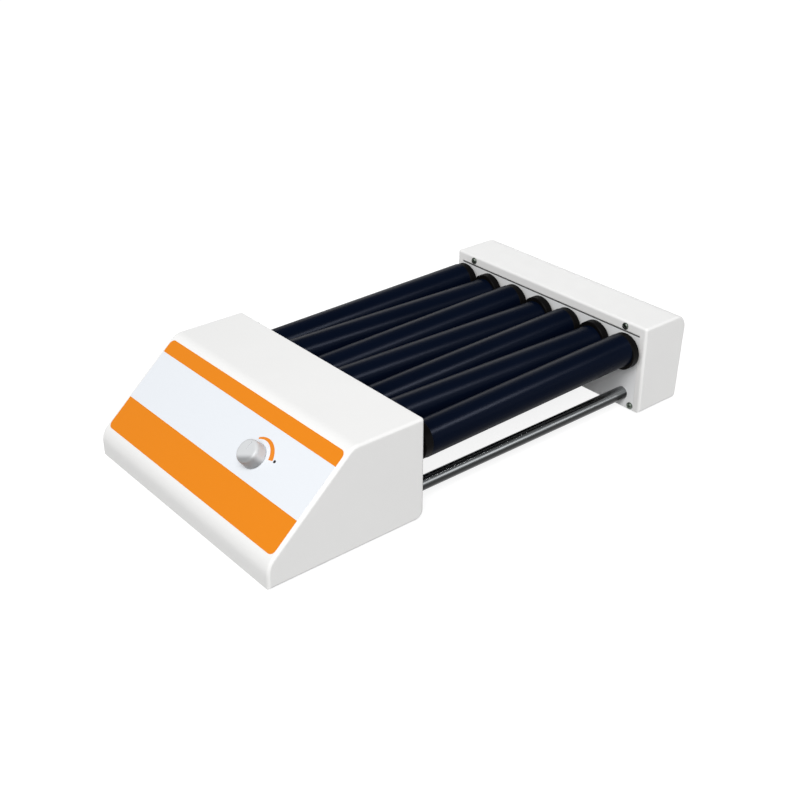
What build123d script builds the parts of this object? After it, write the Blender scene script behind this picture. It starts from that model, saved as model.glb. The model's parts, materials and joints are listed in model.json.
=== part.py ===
"""Seven-roller tube rotator: a drive head, a bed of rocking rollers and an end housing.

X runs across the machine, the rollers lie along Y with the control panel facing -Y, and Z is up.
The origin is on the floor below the middle of the machine.  All sizes are in millimetres.
"""
from build123d import *
import math
import os

# ---------------------------------------------------------------- whole machine
MACHINE_LENGTH = 461.3
MACHINE_WIDTH = 250.0
FOOT_PROJECTION = 2.5
ROLLER_COUNT = 7
ROLLER_FROM_SIDE = 20.0          # outer rollers' axes from the sides of the machine
ROLLER_GAP = 0.4                 # between neighbouring tubes where they pass closest
ROLLER_AXIS_HEIGHT = 59.5        # above the underside of the housings

# ---------------------------------------------------------------- drive head
HEAD_LENGTH = 147.5
HEAD_HEIGHT = 90.3
NOSE_HEIGHT = 20.3
PANEL_RUN = 79.3
NOSE_RADIUS = 18.0
BROW_RADIUS = 14.0
HEAD_BOTTOM_BACK_RADIUS = 8.0
HEAD_LIP = 9.0
HEAD_SIDE_RIM = 8.0

# ---------------------------------------------------------------- end housing
END_SIDE_STEP = 2.0              # end housing's sides inside the head's
END_HEIGHT = 84.3
END_TOP_LENGTH = 56.0            # to the unrounded top corner
END_LEAN_IN = 4.2                # outer face nearer the rollers at the bottom than at the top
END_TOP_BACK_RADIUS = 14.0
END_BOTTOM_BACK_RADIUS = 4.0
END_LIP = 8.8
END_SIDE_RIM = 7.0

# ---------------------------------------------------------------- shells and plates
COVER_WALL = 2.2
COVER_EDGE_RADIUS = 2.5          # round the side walls
COVER_INNER_TOP_RADIUS = 2.4     # along the top edge over the rollers
BEARING_PLATE = 3.0              # behind the housing's rim
PLATE_FLANGE = 24.0
PLATE_EDGE_GAP = 0.4
PAD_TOP_GAP = 1.8                # seam between a plate's raised pad and the lip above it
PAD_SIDE_GAP = 0.2
BASE_PLATE = 1.5
BASE_INSET = 1.0                 # base plates sit this far inside the cover's lower edge
SMALLEST_RADIUS = 0.1
WEB_THICKNESS = 2.0
BOSS_RADIUS = 4.5
BOSS_HEIGHT = 13.0
BOSS_ROOF = 2.0                  # solid above a boss's screw hole
BOSS_FROM_SIDE = 10.0
FRONT_BOSS_FROM_FRONT = 12.0
BACK_BOSS_FROM_BACK = 32.0

# ---------------------------------------------------------------- clearances
RUNNING_CLEARANCE = 0.05         # radial, shaft in bush
SEAT_CLEARANCE = 0.05            # radial, pieces of one body that are pushed together
MOVING_GAP = 0.3                 # between faces that pass each other
OVERCUT = 1.0                    # how far a cutter or a joined piece runs past a face

# ---------------------------------------------------------------- rollers
TUBE_WALL = 1.8
ECCENTRICITY = 2.3               # tube centre off the spindle, opposite ways at the two ends
CAP_STANDOUT = 1.5               # cap's radius over the tube's
CAP_THICKNESS = 8.0
CAP_RIM_CHAMFER = 0.6
PLUG_LENGTH = 10.0
SPINDLE_RADIUS = 4.0
BUSH_RADIUS = 6.0
BUSH_COLLAR_RADIUS = 7.5
BUSH_COLLAR = 4.7                # collar standing out of the plate
BUSH_INSIDE_LENGTH = 4.0
IDLE_SPINDLE_END = 2.0           # spindle past the bush

# ---------------------------------------------------------------- belts and pulleys
ROLLER_PULLEY_RADIUS = 11.4
MOTOR_PULLEY_RADIUS = 7.4
PULLEY_FLANGE_HEIGHT = 2.0
PULLEY_FLANGE = 1.2
PULLEY_LANE = 5.2
LINK_LANE_COUNT = 2              # lanes for the belts that link the rollers
BELT_THICKNESS = 1.2
PULLEY_TO_BUSH = 0.5

# ---------------------------------------------------------------- tie rods
ROD_RADIUS = 6.0
ROD_INSIDE_ROLLER = 3.0          # rods nearer the middle than the outer rollers
ROD_HEIGHT = 13.5                # above the underside of the housings
ROD_THREAD_RADIUS = 4.0
NUT_ACROSS_FLATS = 13.0
NUT_THICKNESS = 6.5
ROD_THREAD_END = 1.5

# ---------------------------------------------------------------- motor
MOTOR_AXIS_HEIGHT = 26.0
GEARBOX_RADIUS = 18.5
GEARBOX_LENGTH = 24.0
GEARBOX_BOSS_RADIUS = 6.0
MOTOR_RADIUS = 17.0
MOTOR_LENGTH = 34.0
MOTOR_TAIL_RADIUS = 5.0
MOTOR_TAIL_LENGTH = 3.0
MOTOR_SHAFT_RADIUS = 3.0
MOTOR_SHAFT_DEPTH = 8.0
MOTOR_BRACKET = 2.5
MOTOR_BRACKET_WIDTH = 52.0
MOTOR_BRACKET_FOOT = 22.0
MOTOR_BRACKET_HEADROOM = 4.0
PULLEY_TO_BRACKET = 3.4

# ---------------------------------------------------------------- panel and speed control
OVERLAY_THICKNESS = 0.3
OVERLAY_SIDE_MARGIN = 3.2
OVERLAY_CORNER_RADIUS = 5.0
KNOB_X = 46.8
KNOB_UP_PANEL = 59.5             # along the panel from its lower edge
KNOB_BASE_RADIUS = 11.0
KNOB_TOP_RADIUS = 10.2
KNOB_HEIGHT = 10.5
KNOB_EDGE_RADIUS = 2.6
KNOB_WALL = 1.6
KNOB_POINTER_WIDTH = 1.0
KNOB_POINTER_DEPTH = 0.4
POT_BODY_RADIUS = 8.2
POT_BODY_DEPTH = 9.0
POT_BUSH_RADIUS = 3.5
POT_BUSH_STANDOUT = 4.0
POT_SHAFT_RADIUS = 3.0
POT_NUT_ACROSS_FLATS = 10.0
POT_NUT_THICKNESS = 2.0
POT_FLOOR = 3.0                  # body behind the end of the shaft
POT_TERMINAL = 1.2
POT_TERMINAL_SPACING = 4.5
POT_TERMINAL_RISE = 2.0          # from the back of the body

# ---------------------------------------------------------------- inlet and switch pocket
POCKET_DEPTH = 4.5
POCKET_LENGTH = 72.0
POCKET_HEIGHT = 32.0
POCKET_CENTRE_FROM_FRONT = 76.0
POCKET_CENTRE_HEIGHT = 36.0
POCKET_CORNER_RADIUS = 4.0
BEZEL_THICKNESS = 2.0
INLET_FROM_FRONT = 62.0
INLET_BODY_LENGTH = 27.0
INLET_BODY_HEIGHT = 20.0
INLET_BODY_DEPTH = 19.0
INLET_WALL = 1.8
INLET_SOCKET_DEPTH = 15.0
INLET_BEZEL_MARGIN = 2.0
INLET_PIN_LENGTH = 9.0
INLET_PIN_WIDTH = 4.0
INLET_PIN_THICKNESS = 2.0
INLET_PIN_SPACING = 7.0
SWITCH_FROM_FRONT = 98.0
SWITCH_BODY_WIDTH = 13.0
SWITCH_BODY_HEIGHT = 19.0
SWITCH_BODY_DEPTH = 13.0
SWITCH_BEZEL_MARGIN = 1.2
SWITCH_WELL_WALL = 1.0
SWITCH_WELL_DEPTH = 7.0
ROCKER_THICKNESS = 3.6
ROCKER_TILT = 7.0
ROCKER_PIN_RADIUS = 1.0
ROCKER_PIVOT_DEPTH = 1.0         # below the face of the bezel

# ---------------------------------------------------------------- board
BOARD_LENGTH = 84.0
BOARD_WIDTH = 30.0
BOARD_THICKNESS = 1.6
BOARD_FROM_FRONT = 14.0
BOARD_CENTRE_X = -34.0
CAPACITOR_RADIUS = 5.0
CAPACITOR_HEIGHT = 9.0
CHIP_LENGTH = 18.0
CHIP_HEIGHT = 3.0
TERMINAL_BLOCK_LENGTH = 14.0
TERMINAL_BLOCK_HEIGHT = 8.0
BOARD_PIECE_WIDTH = 10.0
STANDOFF_HEIGHT = 6.0
STANDOFF_RADIUS = 3.0
STANDOFF_MARGIN = 4.0

# ---------------------------------------------------------------- screws and feet
SCREW_RADIUS = 1.5
SCREW_LENGTH = 7.0
SCREW_HEAD_RADIUS = 3.2
SCREW_HEAD_HEIGHT = 1.7
SCREW_HOLE_CLEARANCE = 0.2
SCREW_HEAD_CHAMFER = 0.8
LIP_SCREW_INSIDE_ROLLER = 6.0
LIP_SCREW_FROM_TOP = 5.0
CORNER_SCREW_FROM_SIDE = 10.5
CORNER_SCREW_HEIGHT = 4.0
CORNER_BOSS_RADIUS = 3.8
CORNER_BOSS_LENGTH = 9.0
FLANGE_SCREW_X = 60.0
BRACKET_SCREW_X = 22.0
FOOT_RADIUS = 8.0
FOOT_TAPER = 1.0
FOOT_STEM_RADIUS = 2.5
FOOT_STEM_HEAD_RADIUS = 3.4
FOOT_STEM_HEAD_HEIGHT = 1.2
FOOT_FROM_SIDE = 28.0
FOOT_FROM_FRONT = 24.0
FOOT_FROM_END = 11.3

# ---------------------------------------------------------------- places worked out from the sizes
HEAD_WIDTH = MACHINE_WIDTH
END_WIDTH = MACHINE_WIDTH - 2 * END_SIDE_STEP
OUTER_ROLLER_X = MACHINE_WIDTH / 2 - ROLLER_FROM_SIDE
ROLLER_PITCH = 2 * OUTER_ROLLER_X / (ROLLER_COUNT - 1)
TUBE_RADIUS = (ROLLER_PITCH - ROLLER_GAP) / 2 - ECCENTRICITY
CAP_RADIUS = TUBE_RADIUS + CAP_STANDOUT
END_BOTTOM_LENGTH = END_TOP_LENGTH - END_LEAN_IN
ROD_HALF_SPACING = OUTER_ROLLER_X - ROD_INSIDE_ROLLER
LIP_SCREW_X = OUTER_ROLLER_X - LIP_SCREW_INSIDE_ROLLER
CORNER_SCREW_X = END_WIDTH / 2 - CORNER_SCREW_FROM_SIDE
SCREW_HOLE_RADIUS = SCREW_RADIUS + SCREW_HOLE_CLEARANCE
SCREW_SEAT_RADIUS = SCREW_RADIUS + SEAT_CLEARANCE
HEAD_FRONT_Y = -MACHINE_LENGTH / 2
HEAD_BACK_Y = HEAD_FRONT_Y + HEAD_LENGTH
END_LEAN = END_LEAN_IN / END_HEIGHT
END_OVERALL_LENGTH = END_TOP_LENGTH - END_TOP_BACK_RADIUS * (END_LEAN + math.hypot(1, END_LEAN) - 1)
END_FACE_Y = MACHINE_LENGTH / 2 - END_OVERALL_LENGTH
UNDERSIDE_Z = FOOT_PROJECTION
BASE_BOTTOM_Z = UNDERSIDE_Z + BASE_INSET
BASE_TOP_Z = BASE_BOTTOM_Z + BASE_PLATE
DRIVE_RIM_Y = HEAD_BACK_Y - COVER_WALL
IDLE_RIM_Y = END_FACE_Y + COVER_WALL
DRIVE_INNER_Y = DRIVE_RIM_Y - BEARING_PLATE
IDLE_INNER_Y = IDLE_RIM_Y + BEARING_PLATE
TUBE_START_Y = HEAD_BACK_Y + BUSH_COLLAR + MOVING_GAP + CAP_THICKNESS
TUBE_END_Y = END_FACE_Y - BUSH_COLLAR - MOVING_GAP - CAP_THICKNESS
ROLLER_Z = UNDERSIDE_Z + ROLLER_AXIS_HEIGHT
BUSH_INNER_Y = DRIVE_INNER_Y - BUSH_INSIDE_LENGTH
PULLEY_BACK_Y = BUSH_INNER_Y - PULLEY_TO_BUSH
LANE_STEP = PULLEY_LANE + PULLEY_FLANGE
BELT_WIDTH = PULLEY_LANE - 2 * MOVING_GAP
MOTOR_Z = UNDERSIDE_Z + MOTOR_AXIS_HEIGHT
MIDDLE_ROLLER = (ROLLER_COUNT + 1) // 2
MOTOR_PULLEY_BACK_Y = PULLEY_BACK_Y - LINK_LANE_COUNT * LANE_STEP
MIDDLE_PULLEY_FRONT_Y = PULLEY_BACK_Y - (LINK_LANE_COUNT + 1) * LANE_STEP - PULLEY_FLANGE
BRACKET_BACK_Y = MIDDLE_PULLEY_FRONT_Y - PULLEY_TO_BRACKET
GEARBOX_BACK_Y = BRACKET_BACK_Y - MOTOR_BRACKET
PANEL_ANGLE = math.degrees(math.atan2(HEAD_HEIGHT - NOSE_HEIGHT, PANEL_RUN))
PANEL_LENGTH = math.hypot(HEAD_HEIGHT - NOSE_HEIGHT, PANEL_RUN)
LEFT_WALL_X = -HEAD_WIDTH / 2
POCKET_FLOOR_X = LEFT_WALL_X + POCKET_DEPTH
POCKET_INNER_X = POCKET_FLOOR_X + COVER_WALL
BEZEL_FACE_X = POCKET_FLOOR_X - BEZEL_THICKNESS
POCKET_Z = UNDERSIDE_Z + POCKET_CENTRE_HEIGHT


# ================================================================ helpers
def rod_along_y(radius, start_y, end_y, x=0.0, z=0.0):
    """A plain cylinder along Y."""
    middle = (start_y + end_y) / 2
    return Pos(x, middle, z) * Rot(90, 0, 0) * Cylinder(radius, abs(end_y - start_y))


def upright(radius, bottom_z, top_z, x, y):
    """A plain cylinder along Z."""
    return Pos(x, y, (bottom_z + top_z) / 2) * Cylinder(radius, top_z - bottom_z)


def block(x_range, y_range, z_range):
    """A box given by its limits."""
    size = [high - low for low, high in (x_range, y_range, z_range)]
    centre = [(high + low) / 2 for low, high in (x_range, y_range, z_range)]
    return Pos(*centre) * Box(*size)


def rounded_outline(corners):
    """A closed outline through (across, up, radius) corners, each rounded by its radius."""
    face = make_face(Polyline(*[(across, up) for across, up, _ in corners], close=True))
    for across, up, radius in corners:
        if radius > 0:
            face = fillet(face.vertices().sort_by_distance((across, up, 0))[0], radius)
    return face


def side_slab(outline, width):
    """A (Y, Z) outline carried across the machine, centred on X = 0."""
    return extrude(Plane.YZ * outline, width / 2, both=True)


def spun_along_y(outline, y, x=0.0, z=0.0):
    """A (radius, length) outline turned about an axis along +Y that starts at y."""
    return Pos(x, y, z) * Rot(-90, 0, 0) * revolve(Plane.XZ * outline, Axis.Z)


def stepped_outline(steps):
    """Outline of a turned piece from (outer radius, start, end) steps in order along its axis."""
    points = [(0, steps[0][1])]
    for radius, start, end in steps:
        points += [(radius, start), (radius, end)]
    points.append((0, steps[-1][2]))
    return make_face(Polyline(*points, close=True))


def mirrored_x(x):
    """The same distance on both sides of the machine."""
    return (-x, x)


def roller_x(number):
    """Place of a roller, counted from 1 at the left."""
    return (number - (ROLLER_COUNT + 1) / 2) * ROLLER_PITCH


def save(node, *solids):
    """Write one named piece, or one group of identical pieces."""
    shape = solids[0] if len(solids) == 1 else Compound(children=list(solids))
    shape.label = node
    export_step(shape, os.path.join("parts", node + ".step"))


# ================================================================ screws
def screw():
    """A pan-head screw with its head's underside at Z = 0 and its shank pointing down."""
    head = chamfer(Cylinder(SCREW_HEAD_RADIUS, SCREW_HEAD_HEIGHT).edges().sort_by(Axis.Z)[-1],
                   SCREW_HEAD_CHAMFER)
    shank = Cylinder(SCREW_RADIUS, SCREW_LENGTH)
    return Pos(0, 0, SCREW_HEAD_HEIGHT / 2) * head + Pos(0, 0, -SCREW_LENGTH / 2) * shank


def screw_up(x, y, z):
    """A screw driven upwards from below a plate whose underside is at z."""
    return Pos(x, y, z) * Rot(180, 0, 0) * screw()


def screw_forward(x, y, z):
    """A screw driven along +Y, with its head on a face at y."""
    return Pos(x, y, z) * Rot(90, 0, 0) * screw()


def screw_backward(x, y, z):
    """A screw driven along -Y, with its head on a face at y."""
    return Pos(x, y, z) * Rot(-90, 0, 0) * screw()


def head_boss_places():
    """Where the head cover is screwed to its base plate."""
    front = HEAD_FRONT_Y + FRONT_BOSS_FROM_FRONT
    back = HEAD_BACK_Y - BACK_BOSS_FROM_BACK
    return [(x, y) for x in mirrored_x(HEAD_WIDTH / 2 - BOSS_FROM_SIDE) for y in (front, back)]


def bracket_screw_places():
    """Where the motor bracket is screwed to the head's base plate."""
    y = GEARBOX_BACK_Y - MOTOR_BRACKET_FOOT / 2
    return [(x, y) for x in mirrored_x(BRACKET_SCREW_X)]


def drive_flange_screw_places():
    """Where the drive bearing plate is screwed to the head's base plate."""
    y = DRIVE_INNER_Y - PLATE_FLANGE / 2
    return [(x, y) for x in mirrored_x(FLANGE_SCREW_X)]


def idle_flange_screw_places():
    """Where the end bearing plate is screwed to the end's base plate."""
    y = IDLE_INNER_Y + PLATE_FLANGE / 2
    return [(x, y) for x in mirrored_x(FLANGE_SCREW_X)]


def lip_screw_places(height):
    """Where a housing's top lip is screwed to the bearing plate behind it, as (x, z)."""
    z = UNDERSIDE_Z + height - LIP_SCREW_FROM_TOP
    return [(x, z) for x in mirrored_x(LIP_SCREW_X)]


def corner_screw_places():
    """Where the lower corners of the end bearing plate are screwed, as (x, z)."""
    z = UNDERSIDE_Z + CORNER_SCREW_HEIGHT
    return [(x, z) for x in mirrored_x(CORNER_SCREW_X)]


def make_screws():
    """The head's screws and the end housing's screws."""
    below = head_boss_places() + bracket_screw_places() + drive_flange_screw_places()
    head = [screw_up(x, y, BASE_BOTTOM_Z) for x, y in below]
    head += [screw_backward(x, HEAD_BACK_Y, z) for x, z in lip_screw_places(HEAD_HEIGHT)]
    end = [screw_forward(x, END_FACE_Y, z) for x, z in lip_screw_places(END_HEIGHT)]
    end += [screw_forward(x, END_FACE_Y, z) for x, z in corner_screw_places()]
    end += [screw_up(x, y, BASE_BOTTOM_Z) for x, y in idle_flange_screw_places()]
    save("head_screws", *head)
    save("end_cover_screws", *end)


# ================================================================ drive head
def head_outline(inset, bottom):
    """Side view of the head, moved in by inset, down to the given height above the underside."""
    slope = math.tan(math.radians(PANEL_ANGLE))
    drop = inset / math.cos(math.radians(PANEL_ANGLE))
    nose_up = NOSE_HEIGHT + inset * slope - drop
    brow_along = (HEAD_HEIGHT - inset - NOSE_HEIGHT + drop) / slope
    top = HEAD_HEIGHT - inset
    back = HEAD_LENGTH - inset
    lower_back_radius = HEAD_BOTTOM_BACK_RADIUS if inset == 0 else 0
    outline = rounded_outline([
        (inset, bottom, 0),
        (inset, nose_up, NOSE_RADIUS - inset),
        (brow_along, top, BROW_RADIUS - inset),
        (back, top, max(COVER_INNER_TOP_RADIUS - inset, SMALLEST_RADIUS)),
        (back, bottom, lower_back_radius),
    ])
    return Pos(HEAD_FRONT_Y, UNDERSIDE_Z) * outline


def pocket_block(margin, outer_x, inner_x):
    """The space of the side pocket, grown by margin in length and height."""
    shape = RectangleRounded(POCKET_LENGTH + 2 * margin, POCKET_HEIGHT + 2 * margin,
                             POCKET_CORNER_RADIUS + margin)
    y = HEAD_FRONT_Y + POCKET_CENTRE_FROM_FRONT
    return Pos(outer_x, y, POCKET_Z) * extrude(Plane.YZ * shape, inner_x - outer_x)


def wall_cutout(y, length, height):
    """A rectangular hole through the pocket's floor."""
    x_range = (POCKET_FLOOR_X - OVERCUT, POCKET_INNER_X + OVERCUT)
    y_range = (y - length / 2, y + length / 2)
    z_range = (POCKET_Z - height / 2, POCKET_Z + height / 2)
    return block(x_range, y_range, z_range)


def cover_boss(x, y):
    """A screw boss joined to the side wall of the head cover by a web."""
    top_z = BASE_TOP_Z + BOSS_HEIGHT
    wall_x = math.copysign(HEAD_WIDTH / 2 - COVER_WALL / 2, x)
    half_web = WEB_THICKNESS / 2
    web = block(sorted((x, wall_x)), (y - half_web, y + half_web), (BASE_TOP_Z, top_z))
    boss = upright(BOSS_RADIUS, BASE_TOP_Z, top_z, x, y) + web
    pilot = upright(SCREW_SEAT_RADIUS, BASE_TOP_Z - OVERCUT, top_z - BOSS_ROOF, x, y)
    return boss, pilot


def make_head_cover():
    """The wedge-shaped housing: open below and behind, with the side pocket and panel hole."""
    cover = side_slab(head_outline(0, 0), HEAD_WIDTH)
    side_faces = cover.faces().sort_by(Axis.X)
    rims = side_faces[0].edges() + side_faces[-1].edges()
    cover = fillet(rims, COVER_EDGE_RADIUS)
    cover -= side_slab(head_outline(COVER_WALL, -BASE_INSET), HEAD_WIDTH - 2 * COVER_WALL)
    half_opening = HEAD_WIDTH / 2 - HEAD_SIDE_RIM
    cover -= block((-half_opening, half_opening), (DRIVE_RIM_Y - OVERCUT, HEAD_BACK_Y + OVERCUT),
                   (0, UNDERSIDE_Z + HEAD_HEIGHT - HEAD_LIP))
    cover += pocket_block(COVER_WALL, LEFT_WALL_X + COVER_WALL / 2, POCKET_INNER_X)
    cover -= pocket_block(0, LEFT_WALL_X - OVERCUT, POCKET_FLOOR_X)
    cover -= wall_cutout(HEAD_FRONT_Y + INLET_FROM_FRONT,
                         INLET_BODY_LENGTH + 2 * SEAT_CLEARANCE, INLET_BODY_HEIGHT + 2 * SEAT_CLEARANCE)
    cover -= wall_cutout(HEAD_FRONT_Y + SWITCH_FROM_FRONT,
                         SWITCH_BODY_WIDTH + 2 * SEAT_CLEARANCE, SWITCH_BODY_HEIGHT + 2 * SEAT_CLEARANCE)
    cover -= panel_plane() * Cylinder(POT_BUSH_RADIUS + SCREW_HOLE_CLEARANCE, 4 * COVER_WALL)
    for x, y in head_boss_places():
        boss, pilot = cover_boss(x, y)
        cover = cover + boss - pilot
    for x, z in lip_screw_places(HEAD_HEIGHT):
        cover -= rod_along_y(SCREW_HOLE_RADIUS, DRIVE_RIM_Y - OVERCUT, HEAD_BACK_Y + OVERCUT, x, z)
    save("head_cover", cover)


def make_head_base_plate():
    """The steel floor of the head, with holes for its screws and feet."""
    half_width = HEAD_WIDTH / 2 - COVER_WALL - PLATE_EDGE_GAP
    front = HEAD_FRONT_Y + COVER_WALL + PLATE_EDGE_GAP
    plate = block((-half_width, half_width), (front, DRIVE_INNER_Y), (BASE_BOTTOM_Z, BASE_TOP_Z))
    for x, y in head_boss_places() + bracket_screw_places() + drive_flange_screw_places():
        plate -= upright(SCREW_HOLE_RADIUS, 0, BASE_TOP_Z + OVERCUT, x, y)
    for x, y in head_foot_places():
        plate -= upright(FOOT_STEM_RADIUS + SEAT_CLEARANCE, 0, BASE_TOP_Z + OVERCUT, x, y)
    save("head_base_plate", plate)


# ================================================================ bearing plates
def bearing_plate(width, height, rim, lip, face_y, inward, side_view):
    """An upright plate seated behind its housing's rim, with a raised pad that fills the opening.

    inward is -1 where the housing lies towards -Y of the pad's face and +1 where it lies towards +Y.
    """
    rim_y = face_y + inward * COVER_WALL
    inner_y = rim_y + inward * BEARING_PLATE
    flange_y = inner_y + inward * PLATE_FLANGE
    half_plate = width / 2 - COVER_WALL - PLATE_EDGE_GAP
    half_pad = width / 2 - rim - PAD_SIDE_GAP
    plate_top_z = UNDERSIDE_Z + height - COVER_WALL - PLATE_EDGE_GAP
    pad_top_z = UNDERSIDE_Z + height - lip - PAD_TOP_GAP
    plate = block((-half_plate, half_plate), sorted((rim_y, inner_y)), (BASE_BOTTOM_Z, plate_top_z))
    plate += block((-half_pad, half_pad), sorted((face_y, inner_y)), (UNDERSIDE_Z, pad_top_z))
    plate &= side_slab(side_view, width)
    plate += block((-ROD_HALF_SPACING, ROD_HALF_SPACING), sorted((rim_y, flange_y)),
                   (BASE_TOP_Z, BASE_TOP_Z + BEARING_PLATE))
    cut = sorted((face_y - inward, inner_y + inward))
    for number in range(1, ROLLER_COUNT + 1):
        plate -= rod_along_y(BUSH_RADIUS + SEAT_CLEARANCE, *cut, roller_x(number), ROLLER_Z)
    for x in mirrored_x(ROD_HALF_SPACING):
        plate -= rod_along_y(ROD_THREAD_RADIUS + SCREW_HOLE_CLEARANCE, *cut, x, UNDERSIDE_Z + ROD_HEIGHT)
    for x, z in lip_screw_places(height):
        plate -= rod_along_y(SCREW_SEAT_RADIUS, *cut, x, z)
    return plate


def flange_holes(places):
    """Holes for the screws that come up through a base plate into a bearing plate's flange."""
    top_z = BASE_TOP_Z + BEARING_PLATE + OVERCUT
    return [upright(SCREW_SEAT_RADIUS, 0, top_z, x, y) for x, y in places]


def make_bearing_plates():
    """The plate at each end of the roller bed."""
    drive = bearing_plate(HEAD_WIDTH, HEAD_HEIGHT, HEAD_SIDE_RIM, HEAD_LIP, HEAD_BACK_Y, -1,
                          head_outline(0, 0))
    save("drive_bearing_plate", drive - flange_holes(drive_flange_screw_places()))
    idle = bearing_plate(END_WIDTH, END_HEIGHT, END_SIDE_RIM, END_LIP, END_FACE_Y, 1, end_outline(0, 0))
    for x, z in corner_screw_places():
        idle -= rod_along_y(SCREW_HOLE_RADIUS, END_FACE_Y - OVERCUT, IDLE_INNER_Y + OVERCUT, x, z)
    save("end_bearing_plate", idle - flange_holes(idle_flange_screw_places()))


def bush(x, face_y, inward):
    """A plain bearing with its collar on the roller side of the plate."""
    collar_y = face_y - inward * BUSH_COLLAR
    inner_y = face_y + inward * (COVER_WALL + BEARING_PLATE + BUSH_INSIDE_LENGTH)
    body = rod_along_y(BUSH_COLLAR_RADIUS, collar_y, face_y, x, ROLLER_Z)
    body += rod_along_y(BUSH_RADIUS, collar_y, inner_y, x, ROLLER_Z)
    return body - rod_along_y(SPINDLE_RADIUS + RUNNING_CLEARANCE, collar_y - inward, inner_y + inward,
                              x, ROLLER_Z)


def make_bushes():
    """One bush for each roller in each plate."""
    numbers = range(1, ROLLER_COUNT + 1)
    save("drive_bearings", *[bush(roller_x(number), HEAD_BACK_Y, -1) for number in numbers])
    save("idle_bearings", *[bush(roller_x(number), END_FACE_Y, 1) for number in numbers])


# ================================================================ end housing
def end_outline(inset, bottom):
    """Side view of the end housing: its outer face leans in towards the floor."""
    top = END_HEIGHT - inset
    outer_top = END_TOP_LENGTH - inset - END_LEAN * inset
    outer_bottom = END_BOTTOM_LENGTH - inset + END_LEAN * bottom
    outline = rounded_outline([
        (inset, bottom, 0),
        (inset, top, max(COVER_INNER_TOP_RADIUS - inset, SMALLEST_RADIUS)),
        (outer_top, top, END_TOP_BACK_RADIUS - inset),
        (outer_bottom, bottom, END_BOTTOM_BACK_RADIUS if inset == 0 else 0),
    ])
    return Pos(END_FACE_Y, UNDERSIDE_Z) * outline


def corner_boss(x, z):
    """A horizontal screw boss at a lower corner of the end cover, with a web to the side wall."""
    start_y = IDLE_INNER_Y
    end_y = start_y + CORNER_BOSS_LENGTH
    wall_x = math.copysign(END_WIDTH / 2 - COVER_WALL / 2, x)
    half_web = WEB_THICKNESS / 2
    web = block(sorted((x, wall_x)), (start_y, end_y), (z - half_web, z + half_web))
    boss = rod_along_y(CORNER_BOSS_RADIUS, start_y, end_y, x, z) + web
    pilot = rod_along_y(SCREW_SEAT_RADIUS, start_y - OVERCUT, end_y - BOSS_ROOF, x, z)
    return boss, pilot


def make_end_cover():
    """The end housing, open below and towards the rollers."""
    cover = side_slab(end_outline(0, 0), END_WIDTH)
    side_faces = cover.faces().sort_by(Axis.X)
    rims = side_faces[0].edges() + side_faces[-1].edges()
    cover = fillet(rims, COVER_EDGE_RADIUS)
    cover -= side_slab(end_outline(COVER_WALL, -BASE_INSET), END_WIDTH - 2 * COVER_WALL)
    half_opening = END_WIDTH / 2 - END_SIDE_RIM
    cover -= block((-half_opening, half_opening), (END_FACE_Y - OVERCUT, IDLE_RIM_Y + OVERCUT),
                   (0, UNDERSIDE_Z + END_HEIGHT - END_LIP))
    for x, z in lip_screw_places(END_HEIGHT):
        cover -= rod_along_y(SCREW_HOLE_RADIUS, END_FACE_Y - OVERCUT, IDLE_RIM_Y + OVERCUT, x, z)
    for x, z in corner_screw_places():
        boss, pilot = corner_boss(x, z)
        cover = cover + boss - pilot
    save("end_cover", cover)


def make_end_base_plate():
    """The steel floor of the end housing, notched round the cover's corner bosses."""
    half_width = END_WIDTH / 2 - COVER_WALL - PLATE_EDGE_GAP
    start_y = IDLE_INNER_Y
    end_y = END_FACE_Y + END_BOTTOM_LENGTH - COVER_WALL - PLATE_EDGE_GAP
    plate = block((-half_width, half_width), (start_y, end_y), (BASE_BOTTOM_Z, BASE_TOP_Z))
    for x, z in corner_screw_places():
        notch_x = math.copysign(CORNER_SCREW_X - CORNER_BOSS_RADIUS - PLATE_EDGE_GAP, x)
        outer_x = math.copysign(half_width + OVERCUT, x)
        notch_end_y = start_y + CORNER_BOSS_LENGTH + PLATE_EDGE_GAP
        plate -= block(sorted((notch_x, outer_x)), (start_y - OVERCUT, notch_end_y),
                       (0, BASE_TOP_Z + OVERCUT))
    for x, y in idle_flange_screw_places():
        plate -= upright(SCREW_HOLE_RADIUS, 0, BASE_TOP_Z + OVERCUT, x, y)
    for x, y in end_foot_places():
        plate -= upright(FOOT_STEM_RADIUS + SEAT_CLEARANCE, 0, BASE_TOP_Z + OVERCUT, x, y)
    save("end_base_plate", plate)


# ================================================================ feet
def head_foot_places():
    """Feet under the head."""
    y = HEAD_FRONT_Y + FOOT_FROM_FRONT
    return [(x, y) for x in mirrored_x(HEAD_WIDTH / 2 - FOOT_FROM_SIDE)]


def end_foot_places():
    """Feet under the end housing, clear of its bearing plate's flange."""
    y = END_FACE_Y + END_BOTTOM_LENGTH - FOOT_FROM_END
    return [(x, y) for x in mirrored_x(END_WIDTH / 2 - FOOT_FROM_SIDE)]


def foot(x, y):
    """A push-in rubber foot: a tapered pad with a headed stem through the base plate."""
    outline = make_face(Polyline(
        (0, 0),
        (FOOT_RADIUS - FOOT_TAPER, 0),
        (FOOT_RADIUS, BASE_BOTTOM_Z),
        (FOOT_STEM_RADIUS, BASE_BOTTOM_Z),
        (FOOT_STEM_RADIUS, BASE_TOP_Z),
        (FOOT_STEM_HEAD_RADIUS, BASE_TOP_Z),
        (FOOT_STEM_RADIUS, BASE_TOP_Z + FOOT_STEM_HEAD_HEIGHT),
        (0, BASE_TOP_Z + FOOT_STEM_HEAD_HEIGHT),
        close=True))
    return Pos(x, y, 0) * revolve(Plane.XZ * outline, Axis.Z)


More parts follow.
